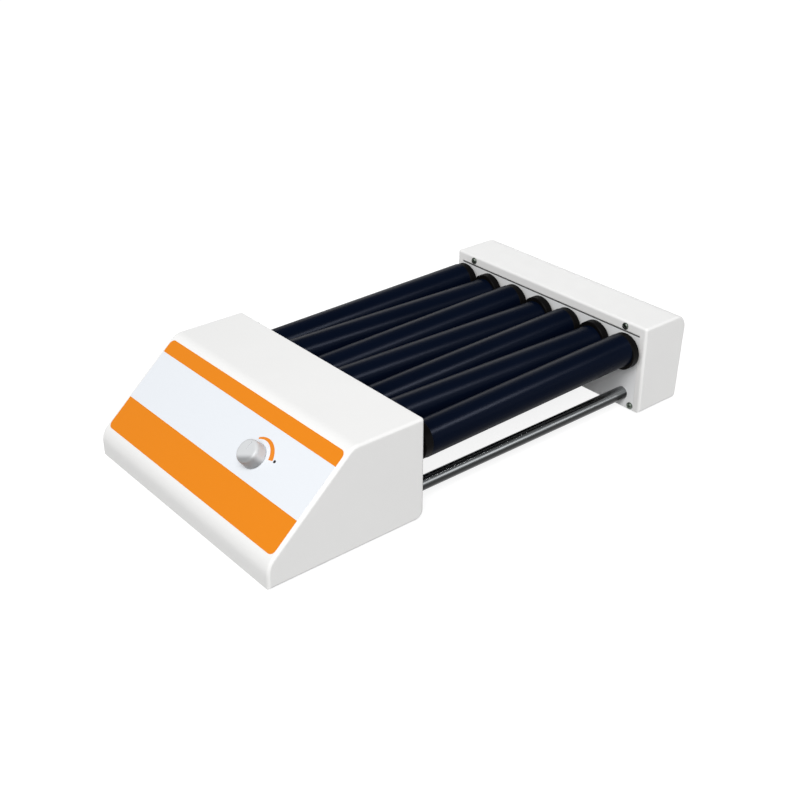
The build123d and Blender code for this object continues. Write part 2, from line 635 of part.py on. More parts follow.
def make_feet():
    """Four feet, two under each housing."""
    save("rubber_feet", *[foot(x, y) for x, y in head_foot_places() + end_foot_places()])


# ================================================================ tie rods
def tie_rod(x):
    """A bright rod butting on both bearing plates, with a threaded end through each."""
    thread = COVER_WALL + BEARING_PLATE + NUT_THICKNESS + ROD_THREAD_END
    length = END_FACE_Y - HEAD_BACK_Y
    outline = stepped_outline([
        (ROD_THREAD_RADIUS, -thread, 0),
        (ROD_RADIUS, 0, length),
        (ROD_THREAD_RADIUS, length, length + thread),
    ])
    return spun_along_y(outline, HEAD_BACK_Y, x, UNDERSIDE_Z + ROD_HEIGHT)


def rod_nut(x, start_y):
    """A hexagon nut on a rod's threaded end."""
    shape = RegularPolygon(NUT_ACROSS_FLATS / 2, 6, major_radius=False)
    shape -= Circle(ROD_THREAD_RADIUS + SEAT_CLEARANCE)
    nut = extrude(shape, NUT_THICKNESS)
    return Pos(x, start_y, UNDERSIDE_Z + ROD_HEIGHT) * Rot(-90, 0, 0) * nut


def make_tie_rods():
    """The two rods that hold the housings apart, and their four nuts."""
    save("left_tie_rod", tie_rod(-ROD_HALF_SPACING))
    save("right_tie_rod", tie_rod(ROD_HALF_SPACING))
    starts = (DRIVE_INNER_Y - NUT_THICKNESS, IDLE_INNER_Y)
    save("tie_rod_nuts", *[rod_nut(x, y) for x in mirrored_x(ROD_HALF_SPACING) for y in starts])


# ================================================================ rollers
def tube_offset(number):
    """Height of the tube's centre over the spindle at the idle end; the drive end has the opposite."""
    return ECCENTRICITY if number % 2 else -ECCENTRICITY


def leaning_cylinder(number, radius, start_y, end_y):
    """A cylinder on the leaning axis of a tube, cut square to the spindle at both ends."""
    rise = tube_offset(number)
    span = TUBE_END_Y - TUBE_START_Y
    middle_y = (TUBE_END_Y + TUBE_START_Y) / 2
    lean = math.degrees(math.atan2(2 * rise, span))
    x = roller_x(number)
    reach = TUBE_RADIUS + ECCENTRICITY + OVERCUT
    whole = Pos(x, middle_y, ROLLER_Z) * Rot(lean, 0, 0) * Rot(90, 0, 0) * Cylinder(radius, span + reach)
    return whole & block((x - reach, x + reach), (start_y, end_y), (ROLLER_Z - reach, ROLLER_Z + reach))


def make_tube(number):
    """The roller's tube: it leans across the spindle, so a tube on it rocks as it rolls."""
    outer = leaning_cylinder(number, TUBE_RADIUS, TUBE_START_Y, TUBE_END_Y)
    bore = leaning_cylinder(number, TUBE_RADIUS - TUBE_WALL, TUBE_START_Y, TUBE_END_Y)
    save(f"roller_{number}_tube", outer - bore)


def cap(number, outer_y, inner_y):
    """The round cap of a hub, centred on the spindle, with a chamfered rim."""
    disc = chamfer(Cylinder(CAP_RADIUS, abs(inner_y - outer_y)).edges(), CAP_RIM_CHAMFER)
    return Pos(roller_x(number), (outer_y + inner_y) / 2, ROLLER_Z) * Rot(90, 0, 0) * disc


def make_hubs(number):
    """The hub at each end: a spindle, a cap and an off-centre plug inside the tube."""
    x = roller_x(number)
    plug_radius = TUBE_RADIUS - TUBE_WALL - SEAT_CLEARANCE
    drive_cap_y = TUBE_START_Y - CAP_THICKNESS
    drive = cap(number, drive_cap_y, TUBE_START_Y)
    drive += leaning_cylinder(number, plug_radius, TUBE_START_Y, TUBE_START_Y + PLUG_LENGTH)
    drive += rod_along_y(SPINDLE_RADIUS, pulley_front_y(number), drive_cap_y + OVERCUT, x, ROLLER_Z)
    save(f"roller_{number}_drive_hub", drive)
    idle_cap_y = TUBE_END_Y + CAP_THICKNESS
    spindle_end = IDLE_INNER_Y + BUSH_INSIDE_LENGTH + IDLE_SPINDLE_END
    idle = cap(number, idle_cap_y, TUBE_END_Y)
    idle += leaning_cylinder(number, plug_radius, TUBE_END_Y - PLUG_LENGTH, TUBE_END_Y)
    idle += rod_along_y(SPINDLE_RADIUS, idle_cap_y - OVERCUT, spindle_end, x, ROLLER_Z)
    save(f"roller_{number}_idle_hub", idle)


# ================================================================ pulleys and belts
def lane_count(number):
    """Belt lanes of a roller's pulley: the middle one has a third for the motor's belt."""
    return LINK_LANE_COUNT + 1 if number == MIDDLE_ROLLER else LINK_LANE_COUNT


def pulley_length(lanes):
    """Length of a pulley with that many lanes."""
    return lanes * LANE_STEP + PULLEY_FLANGE


def pulley_front_y(number):
    """Front end of a roller's pulley and of its spindle."""
    return PULLEY_BACK_Y - pulley_length(lane_count(number))


def pulley(radius, bore, lanes, back_y, x, z):
    """A flanged belt pulley whose back face is at back_y."""
    rim = radius + PULLEY_FLANGE_HEIGHT
    steps = []
    along = 0.0
    for _ in range(lanes):
        steps.append((rim, along, along + PULLEY_FLANGE))
        steps.append((radius, along + PULLEY_FLANGE, along + LANE_STEP))
        along += LANE_STEP
    steps.append((rim, along, along + PULLEY_FLANGE))
    length = pulley_length(lanes)
    body = spun_along_y(stepped_outline(steps), back_y - length, x, z)
    return body - rod_along_y(bore + SEAT_CLEARANCE, back_y - length - OVERCUT, back_y + OVERCUT, x, z)


def make_pulleys():
    """A pulley for every roller, and the small one on the motor's shaft."""
    for number in range(1, ROLLER_COUNT + 1):
        save(f"roller_{number}_pulley",
             pulley(ROLLER_PULLEY_RADIUS, SPINDLE_RADIUS, lane_count(number), PULLEY_BACK_Y,
                    roller_x(number), ROLLER_Z))
    save("motor_pulley",
         pulley(MOTOR_PULLEY_RADIUS, MOTOR_SHAFT_RADIUS, 1, MOTOR_PULLEY_BACK_Y,
                roller_x(MIDDLE_ROLLER), MOTOR_Z))


def belt_outline(radius_a, radius_b, spacing, growth):
    """The loop round two pulleys, the second one below the first."""
    upper = Circle(radius_a + growth).edges()
    lower = (Pos(0, -spacing) * Circle(radius_b + growth)).edges()
    return make_hull(upper + lower)


def belt(radius_a, radius_b, spacing, lane, x, z, turn):
    """A flat belt in one lane, hanging down from the first pulley and then turned about it."""
    outer = belt_outline(radius_a, radius_b, spacing, MOVING_GAP + BELT_THICKNESS)
    inner = belt_outline(radius_a, radius_b, spacing, MOVING_GAP)
    loop = extrude(outer - inner, BELT_WIDTH / 2, both=True)
    y = PULLEY_BACK_Y - PULLEY_FLANGE - PULLEY_LANE / 2 - lane * LANE_STEP
    return Pos(x, y, z) * Rot(90, 0, 0) * Rot(0, 0, turn) * loop


def make_belts():
    """The belt from the motor, and the belts that link each roller to the next."""
    save("drive_belt", belt(ROLLER_PULLEY_RADIUS, MOTOR_PULLEY_RADIUS, ROLLER_Z - MOTOR_Z, LINK_LANE_COUNT,
                            roller_x(MIDDLE_ROLLER), ROLLER_Z, 0))
    save("link_belts", *[
        belt(ROLLER_PULLEY_RADIUS, ROLLER_PULLEY_RADIUS, ROLLER_PITCH, (number + 1) % 2,
             roller_x(number), ROLLER_Z, 90)
        for number in range(1, ROLLER_COUNT)])


# ================================================================ motor
def make_motor():
    """The geared motor, its shaft and the bracket that carries it on the base plate."""
    front_y = GEARBOX_BACK_Y - GEARBOX_LENGTH
    bore = rod_along_y(MOTOR_SHAFT_RADIUS + RUNNING_CLEARANCE, GEARBOX_BACK_Y - MOTOR_SHAFT_DEPTH,
                       BRACKET_BACK_Y + OVERCUT, 0, MOTOR_Z)
    gearbox = rod_along_y(GEARBOX_RADIUS, front_y, GEARBOX_BACK_Y, 0, MOTOR_Z)
    gearbox = chamfer(gearbox.edges().filter_by(GeomType.CIRCLE), CAP_RIM_CHAMFER)
    gearbox += rod_along_y(GEARBOX_BOSS_RADIUS, GEARBOX_BACK_Y - OVERCUT, BRACKET_BACK_Y, 0, MOTOR_Z)
    save("motor_gearbox", gearbox - bore)
    tail_y = front_y - MOTOR_LENGTH
    body = rod_along_y(MOTOR_RADIUS, tail_y, front_y, 0, MOTOR_Z)
    body += rod_along_y(MOTOR_TAIL_RADIUS, tail_y - MOTOR_TAIL_LENGTH, tail_y + OVERCUT, 0, MOTOR_Z)
    save("motor_body", body)
    shaft = rod_along_y(MOTOR_SHAFT_RADIUS, GEARBOX_BACK_Y - MOTOR_SHAFT_DEPTH + MOVING_GAP,
                        MOTOR_PULLEY_BACK_Y, 0, MOTOR_Z)
    save("motor_shaft", shaft)


def make_motor_bracket():
    """An angle bracket: an upright plate behind the gearbox and a foot below it."""
    half = MOTOR_BRACKET_WIDTH / 2
    top_z = MOTOR_Z + GEARBOX_RADIUS + MOTOR_BRACKET_HEADROOM
    foot_z = BASE_TOP_Z + MOTOR_BRACKET
    bracket = block((-half, half), (GEARBOX_BACK_Y, BRACKET_BACK_Y), (BASE_TOP_Z, top_z))
    bracket += block((-half, half), (GEARBOX_BACK_Y - MOTOR_BRACKET_FOOT, BRACKET_BACK_Y),
                     (BASE_TOP_Z, foot_z))
    bracket -= rod_along_y(GEARBOX_BOSS_RADIUS + SEAT_CLEARANCE, GEARBOX_BACK_Y - OVERCUT,
                           BRACKET_BACK_Y + OVERCUT, 0, MOTOR_Z)
    for x, y in bracket_screw_places():
        bracket -= upright(SCREW_SEAT_RADIUS, 0, foot_z + OVERCUT, x, y)
    save("motor_bracket", bracket)


# ================================================================ panel and speed control
def panel_plane(x=KNOB_X, up_panel=KNOB_UP_PANEL):
    """A plane on the sloping panel: its X is across the machine, its Y up the panel."""
    angle = math.radians(PANEL_ANGLE)
    origin = (x, HEAD_FRONT_Y + up_panel * math.cos(angle),
              UNDERSIDE_Z + NOSE_HEIGHT + up_panel * math.sin(angle))
    return Plane(origin=origin, x_dir=(1, 0, 0), z_dir=(0, -math.sin(angle), math.cos(angle)))


def make_overlay():
    """The printed film on the flat of the sloping panel, between its two rounded edges."""
    turn_nose = math.radians(90 - PANEL_ANGLE) / 2
    turn_brow = math.radians(PANEL_ANGLE) / 2
    low = NOSE_RADIUS * math.tan(turn_nose) + MOVING_GAP
    high = PANEL_LENGTH - BROW_RADIUS * math.tan(turn_brow) - MOVING_GAP
    film = RectangleRounded(HEAD_WIDTH - 2 * OVERLAY_SIDE_MARGIN, high - low, OVERLAY_CORNER_RADIUS)
    film -= Pos(KNOB_X, KNOB_UP_PANEL - (high + low) / 2) * Circle(POT_BUSH_RADIUS + SCREW_HOLE_CLEARANCE)
    plane = panel_plane(0, (high + low) / 2)
    save("front_overlay", plane * extrude(film, OVERLAY_THICKNESS))


def make_potentiometer():
    """The speed control behind the panel: body with bush, nut and shaft."""
    plane = panel_plane()
    top = OVERLAY_THICKNESS + POT_BUSH_STANDOUT
    bottom = -COVER_WALL - POT_BODY_DEPTH
    body = Pos(0, 0, (bottom - COVER_WALL) / 2) * Cylinder(POT_BODY_RADIUS, POT_BODY_DEPTH)
    bush_bottom = -COVER_WALL - OVERCUT
    body += Pos(0, 0, (top + bush_bottom) / 2) * Cylinder(POT_BUSH_RADIUS, top - bush_bottom)
    for side in (-1, 0, 1):
        body += Pos(side * POT_TERMINAL_SPACING, -POT_BODY_RADIUS, bottom + POT_TERMINAL_RISE) \
            * Box(POT_TERMINAL, POT_BODY_RADIUS, POT_TERMINAL / 2)
    shaft_bottom = bottom + POT_FLOOR
    knob_roof = OVERLAY_THICKNESS + 2 * MOVING_GAP + KNOB_HEIGHT - 2 * KNOB_WALL
    bore_bottom = shaft_bottom - MOVING_GAP
    body -= Pos(0, 0, (bore_bottom + top + OVERCUT) / 2) \
        * Cylinder(POT_SHAFT_RADIUS + RUNNING_CLEARANCE, top + OVERCUT - bore_bottom)
    save("potentiometer_body", plane * body)
    nut = RegularPolygon(POT_NUT_ACROSS_FLATS / 2, 6, major_radius=False)
    nut -= Circle(POT_BUSH_RADIUS + SEAT_CLEARANCE)
    save("potentiometer_nut", plane * Pos(0, 0, OVERLAY_THICKNESS) * extrude(nut, POT_NUT_THICKNESS))
    shaft = Pos(0, 0, (shaft_bottom + knob_roof) / 2) * Cylinder(POT_SHAFT_RADIUS, knob_roof - shaft_bottom)
    save("potentiometer_shaft", plane * shaft)


def make_knob():
    """The speed knob: a tapered cup with a rounded top and a pointer groove."""
    bottom = OVERLAY_THICKNESS + 2 * MOVING_GAP
    top = bottom + KNOB_HEIGHT
    outline = make_face(Polyline((0, bottom), (KNOB_BASE_RADIUS, bottom), (KNOB_TOP_RADIUS, top), (0, top),
                                 close=True))
    outline = fillet(outline.vertices().sort_by_distance((KNOB_TOP_RADIUS, top, 0))[0], KNOB_EDGE_RADIUS)
    knob = revolve(Plane.XZ * outline, Axis.Z)
    recess_top = OVERLAY_THICKNESS + POT_BUSH_STANDOUT + 2 * MOVING_GAP
    recess_radius = POT_NUT_ACROSS_FLATS / math.sqrt(3) + 3 * MOVING_GAP
    knob -= Pos(0, 0, (bottom - OVERCUT + recess_top) / 2) \
        * Cylinder(recess_radius, recess_top - bottom + OVERCUT)
    knob -= Pos(0, 0, (bottom + top) / 2 - KNOB_WALL) \
        * Cylinder(POT_SHAFT_RADIUS + SEAT_CLEARANCE, KNOB_HEIGHT - 2 * KNOB_WALL + 2 * SEAT_CLEARANCE)
    knob -= Pos(0, KNOB_TOP_RADIUS / 2 + OVERCUT, top) \
        * Box(KNOB_POINTER_WIDTH, KNOB_TOP_RADIUS, 2 * KNOB_POINTER_DEPTH)
    save("speed_knob", panel_plane() * knob)


# ================================================================ inlet and switch
def make_inlet():
    """The power inlet: a shrouded socket with three blades, set into the side pocket."""
    y = HEAD_FRONT_Y + INLET_FROM_FRONT
    length = INLET_BODY_LENGTH + 2 * INLET_BEZEL_MARGIN
    height = INLET_BODY_HEIGHT + 2 * INLET_BEZEL_MARGIN
    bezel = extrude(Plane.YZ * RectangleRounded(length, height, INLET_BEZEL_MARGIN), BEZEL_THICKNESS)
    body_end = BEZEL_THICKNESS + INLET_BODY_DEPTH
    inlet = bezel + block((BEZEL_THICKNESS - OVERCUT, body_end),
                          (-INLET_BODY_LENGTH / 2, INLET_BODY_LENGTH / 2),
                          (-INLET_BODY_HEIGHT / 2, INLET_BODY_HEIGHT / 2))
    socket_length = INLET_BODY_LENGTH - 2 * INLET_WALL
    socket_height = INLET_BODY_HEIGHT - 2 * INLET_WALL
    socket = chamfer(Rectangle(socket_length, socket_height).vertices().sort_by(Axis.Y)[-2:],
                     socket_height / 4)
    inlet -= Pos(-OVERCUT, 0, 0) * extrude(Plane.YZ * socket, INLET_SOCKET_DEPTH + OVERCUT)
    for side in (-1, 0, 1):
        lift = INLET_PIN_THICKNESS if side == 0 else -INLET_PIN_THICKNESS / 2
        centre_x = INLET_SOCKET_DEPTH - INLET_PIN_LENGTH / 2 + 0.5
        inlet += Pos(centre_x, side * INLET_PIN_SPACING, lift) \
            * Box(INLET_PIN_LENGTH + OVERCUT, INLET_PIN_THICKNESS, INLET_PIN_WIDTH)
    save("power_inlet", Pos(BEZEL_FACE_X, y, POCKET_Z) * inlet)


def make_switch():
    """The rocker switch: its frame with a well, and the rocker on its cross pin."""
    y = HEAD_FRONT_Y + SWITCH_FROM_FRONT
    width = SWITCH_BODY_WIDTH + 2 * SWITCH_BEZEL_MARGIN
    height = SWITCH_BODY_HEIGHT + 2 * SWITCH_BEZEL_MARGIN
    frame = extrude(Plane.YZ * RectangleRounded(width, height, SWITCH_BEZEL_MARGIN), BEZEL_THICKNESS)
    frame += block((BEZEL_THICKNESS - OVERCUT, BEZEL_THICKNESS + SWITCH_BODY_DEPTH),
                   (-SWITCH_BODY_WIDTH / 2, SWITCH_BODY_WIDTH / 2),
                   (-SWITCH_BODY_HEIGHT / 2, SWITCH_BODY_HEIGHT / 2))
    well_width = SWITCH_BODY_WIDTH - 2 * SWITCH_WELL_WALL
    well_height = SWITCH_BODY_HEIGHT - 2 * SWITCH_WELL_WALL
    frame -= block((-OVERCUT, SWITCH_WELL_DEPTH), (-well_width / 2, well_width / 2),
                   (-well_height / 2, well_height / 2))
    pin_length = well_width + SWITCH_WELL_WALL
    pivot = Pos(ROCKER_PIVOT_DEPTH, 0, 0)
    frame -= pivot * Rot(90, 0, 0) * Cylinder(ROCKER_PIN_RADIUS + RUNNING_CLEARANCE,
                                              pin_length + 2 * RUNNING_CLEARANCE)
    save("switch_frame", Pos(BEZEL_FACE_X, y, POCKET_Z) * frame)
    half_height = math.sqrt((well_height / 2 - MOVING_GAP) ** 2 - (ROCKER_THICKNESS / 2) ** 2)
    rocker = Box(ROCKER_THICKNESS, well_width - 2 * MOVING_GAP, 2 * half_height)
    rocker = fillet(rocker.edges().filter_by(Axis.Y), ROCKER_THICKNESS / 4)
    rocker += Rot(90, 0, 0) * Cylinder(ROCKER_PIN_RADIUS, pin_length)
    save("switch_rocker", Pos(BEZEL_FACE_X, y, POCKET_Z) * pivot * Rot(0, ROCKER_TILT, 0) * rocker)


# ================================================================ board
def make_board():
    """The speed board on its four standoffs."""
    y = HEAD_FRONT_Y + BOARD_FROM_FRONT + BOARD_WIDTH / 2
    board_z = BASE_TOP_Z + STANDOFF_HEIGHT
    top_z = board_z + BOARD_THICKNESS
    half_length = BOARD_LENGTH / 2
    board = block((BOARD_CENTRE_X - half_length, BOARD_CENTRE_X + half_length),
                  (y - BOARD_WIDTH / 2, y + BOARD_WIDTH / 2), (board_z, top_z))
    board += upright(CAPACITOR_RADIUS, board_z, top_z + CAPACITOR_HEIGHT,
                     BOARD_CENTRE_X - half_length / 2, y)
    for x, length, height in ((BOARD_CENTRE_X, CHIP_LENGTH, CHIP_HEIGHT),
                              (BOARD_CENTRE_X + half_length / 2 + TERMINAL_BLOCK_LENGTH / 2,
                               TERMINAL_BLOCK_LENGTH, TERMINAL_BLOCK_HEIGHT)):
        board += block((x - length / 2, x + length / 2),
                       (y - BOARD_PIECE_WIDTH / 2, y + BOARD_PIECE_WIDTH / 2), (board_z, top_z + height))
    save("control_board", board)
    places = [(BOARD_CENTRE_X + side * (half_length - STANDOFF_MARGIN), y + back)
              for side in (-1, 1)
              for back in mirrored_x(BOARD_WIDTH / 2 - STANDOFF_MARGIN)]
    save("board_standoffs", *[upright(STANDOFF_RADIUS, BASE_TOP_Z, board_z, x, y) for x, y in places])


# ================================================================ whole machine
def main():
    """Write every piece of the machine."""
    os.makedirs("parts", exist_ok=True)
    make_head_cover()
    make_head_base_plate()
    make_bearing_plates()
    make_bushes()
    make_end_cover()
    make_end_base_plate()
    make_feet()
    make_tie_rods()
    for number in range(1, ROLLER_COUNT + 1):
        make_tube(number)
        make_hubs(number)
    make_pulleys()
    make_belts()
    make_motor()
    make_motor_bracket()
    make_overlay()
    make_potentiometer()
    make_knob()
    make_inlet()
    make_switch()
    make_board()
    make_screws()


main()
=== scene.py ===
"""Looks of the seven-roller tube rotator: finishes, printed panel, screw heads, light and camera."""
import json
import math

import bmesh
import bpy
from mathutils import Matrix, Vector

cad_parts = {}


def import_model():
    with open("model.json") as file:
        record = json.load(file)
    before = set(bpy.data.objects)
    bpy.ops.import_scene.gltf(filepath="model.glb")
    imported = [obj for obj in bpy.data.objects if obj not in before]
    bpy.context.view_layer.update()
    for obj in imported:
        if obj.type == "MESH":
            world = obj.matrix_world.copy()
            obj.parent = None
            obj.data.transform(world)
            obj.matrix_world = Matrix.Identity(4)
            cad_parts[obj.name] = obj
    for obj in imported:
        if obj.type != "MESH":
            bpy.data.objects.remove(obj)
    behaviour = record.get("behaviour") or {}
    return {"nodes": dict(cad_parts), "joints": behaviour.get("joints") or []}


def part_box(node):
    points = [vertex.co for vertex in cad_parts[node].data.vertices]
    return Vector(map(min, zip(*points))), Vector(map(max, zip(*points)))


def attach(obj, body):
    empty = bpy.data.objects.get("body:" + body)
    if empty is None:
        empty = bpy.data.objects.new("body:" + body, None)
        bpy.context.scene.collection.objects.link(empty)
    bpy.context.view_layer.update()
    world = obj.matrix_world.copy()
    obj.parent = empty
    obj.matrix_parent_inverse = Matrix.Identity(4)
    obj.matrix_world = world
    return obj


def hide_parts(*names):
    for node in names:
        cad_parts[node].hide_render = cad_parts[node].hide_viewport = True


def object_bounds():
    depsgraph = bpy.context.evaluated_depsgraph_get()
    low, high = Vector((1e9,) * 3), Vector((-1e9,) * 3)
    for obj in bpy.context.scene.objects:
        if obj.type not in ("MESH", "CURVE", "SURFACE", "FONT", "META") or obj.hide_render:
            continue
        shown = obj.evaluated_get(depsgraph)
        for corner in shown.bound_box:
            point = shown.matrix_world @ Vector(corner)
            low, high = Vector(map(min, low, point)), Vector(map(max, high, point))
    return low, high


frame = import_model()
cad_low, cad_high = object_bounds()
NODES = frame["nodes"]
JOINTS = {joint["name"]: joint for joint in frame["joints"]}
ROLLER_NUMBERS = range(1, 8)
MERGE_DISTANCE = 0.000001        # corners nearer than this are one

# ---------------------------------------------------------------- the panel, from the knob's joint
KNOB_JOINT = JOINTS["speed_knob_turn"]
KNOB_CENTRE = Vector(KNOB_JOINT["pos_m"])
PANEL_OUT = -Vector(KNOB_JOINT["axis"]).normalized()
PANEL_ACROSS = Vector((1.0, 0.0, 0.0))
PANEL_UP = PANEL_OUT.cross(PANEL_ACROSS)
FILM_THICKNESS = 0.0003
FILM_LOW, FILM_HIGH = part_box("front_overlay")
FILM_START = PANEL_UP.dot(Vector((0.0, FILM_LOW.y, FILM_LOW.z)))
FILM_LENGTH = PANEL_UP.dot(Vector((0.0, FILM_HIGH.y, FILM_HIGH.z))) - FILM_START

# ---------------------------------------------------------------- print on the panel, metres and degrees
LOWER_BAND_END = 0.0312          # along the film from its lower edge
UPPER_BAND_START = 0.0787
ARC_INNER_RADIUS = 0.0146
ARC_START_ANGLE = 122.0          # from straight across the panel
ARC_END_ANGLE = 14.0
ARC_START_WIDTH = 0.0015
ARC_END_WIDTH = 0.0048
ARC_STEPS = 64
DOT_RADIUS = 0.0013
DOT_DISTANCE = 0.0216            # from the knob's centre
DOT_STEPS = 24
PRINT_HEIGHT = 0.00004

# ---------------------------------------------------------------- marks on the power switch, metres
MARK_HEIGHT = 0.00004
MARK_FROM_MIDDLE = 0.24          # of the rocker's height, from its middle to a mark's
BAR_WIDTH = 0.0005
BAR_LENGTH = 0.0032
RING_RADIUS = 0.0017
RING_STEPS = 28

# ---------------------------------------------------------------- cross recesses in the screws, metres
RECESS_LENGTH = 0.0034
RECESS_WIDTH = 0.0009
RECESS_DEPTH = 0.0009
RECESS_TAPER = 0.4               # share by which the cross narrows to its floor
HEAD_RIM = 0.95                  # of a screw head's radius: corners beyond it are on the head

# ---------------------------------------------------------------- colours, linear
WHITE_SHELL = (0.83, 0.825, 0.815)
PLATE_WHITE = (0.79, 0.795, 0.80)
FILM_WHITE = (0.74, 0.765, 0.80)
PRINT_ORANGE = (0.75, 0.222, 0.0055)
KNOB_GREY = (0.60, 0.61, 0.62)
ROLLER_BLACK = (0.0012, 0.0028, 0.0085)
CAP_BLACK = (0.0040, 0.0037, 0.0038)
CHROME = (0.80, 0.81, 0.83)
ROD_METAL = (0.25, 0.26, 0.265)
ZINC = (0.56, 0.57, 0.58)
SCREW_STEEL = (0.12, 0.14, 0.12)
BRONZE = (0.55, 0.36, 0.16)
RUBBER_BLACK = (0.018, 0.018, 0.019)
PLASTIC_BLACK = (0.014, 0.014, 0.015)
MOTOR_GREY = (0.11, 0.115, 0.12)
BOARD_GREEN = (0.012, 0.085, 0.035)
MARK_WHITE = (0.75, 0.75, 0.75)
PURE_WHITE = (1.0, 1.0, 1.0)
ROLLER_TINT = (0.70, 0.78, 1.0)  # of the light that glances off the rollers

# ---------------------------------------------------------------- graded shades
LOW_FRONT_SHADE = 0.89             # of the housings' white: painted shade low on their front
LOW_FRONT_SHADE_TOP = 0.050
LOW_FRONT_SHADE_BOTTOM = 0.010
KNOB_SHADE = 0.44                # of the knob's grey: painted shade on the lower side of its grip
KNOB_SHADE_DIRECTION = (-PANEL_UP + 0.5 * PANEL_ACROSS).normalized()
KNOB_SHADE_START = 0.0030        # from the knob's centre
KNOB_SHADE_END = 0.0078
SEAM_SHADE = 0.16                # of the bearing plates' white: painted shade on the ledge in the seam
ROD_UNDERSIDE_SHADE = 0.13             # of the rods' metal: painted shade on their underside
UNDERSIDE_SHADE_START = -0.50          # cosine to straight down where a side begins to darken with painted shade
UNDERSIDE_SHADE_END = -0.30
ROLLER_SPECULAR = 0.02
CAP_SPECULAR = 0.03

# ---------------------------------------------------------------- light and camera
FLOOR_GLOW = 0.85
FLOOR_ALBEDO = 0.30
FLOOR_SIZE = 12.0
FLOOR_DROP = 0.0002              # below the feet
WORLD_LIGHT = 0.32
WORLD_COLOUR = (0.97, 0.985, 1.0)
# name: place, aim, size, power in watts
LAMPS = {
    "key": ((1.89, -2.56, 3.20), (0.0, 0.0, 0.0), (3.0, 3.0), 213.0),
    "back_fill": ((-1.3, 1.3, 0.6), (0.0, 0.0, 0.05), (1.2, 0.8), 5.5),
    "right_fill": ((1.5, 1.0, 0.5), (0.0, 0.1, 0.05), (0.8, 0.8), 4.4),
    "reflection_card": ((0.66, 0.55, 0.78), (0.0, -0.05, 0.06), (0.26, 0.20), 11.0),
}
CAMERA_PLACE = (0.73044, -0.61050, 0.54810)
CAMERA_AZIMUTH = 50.28           # degrees, from straight in front of the panel
CAMERA_ELEVATION = 28.73
FOCAL_PIXELS = 1224.5
PHOTO_PIXELS = 800.0
SENSOR_MM = 36.0


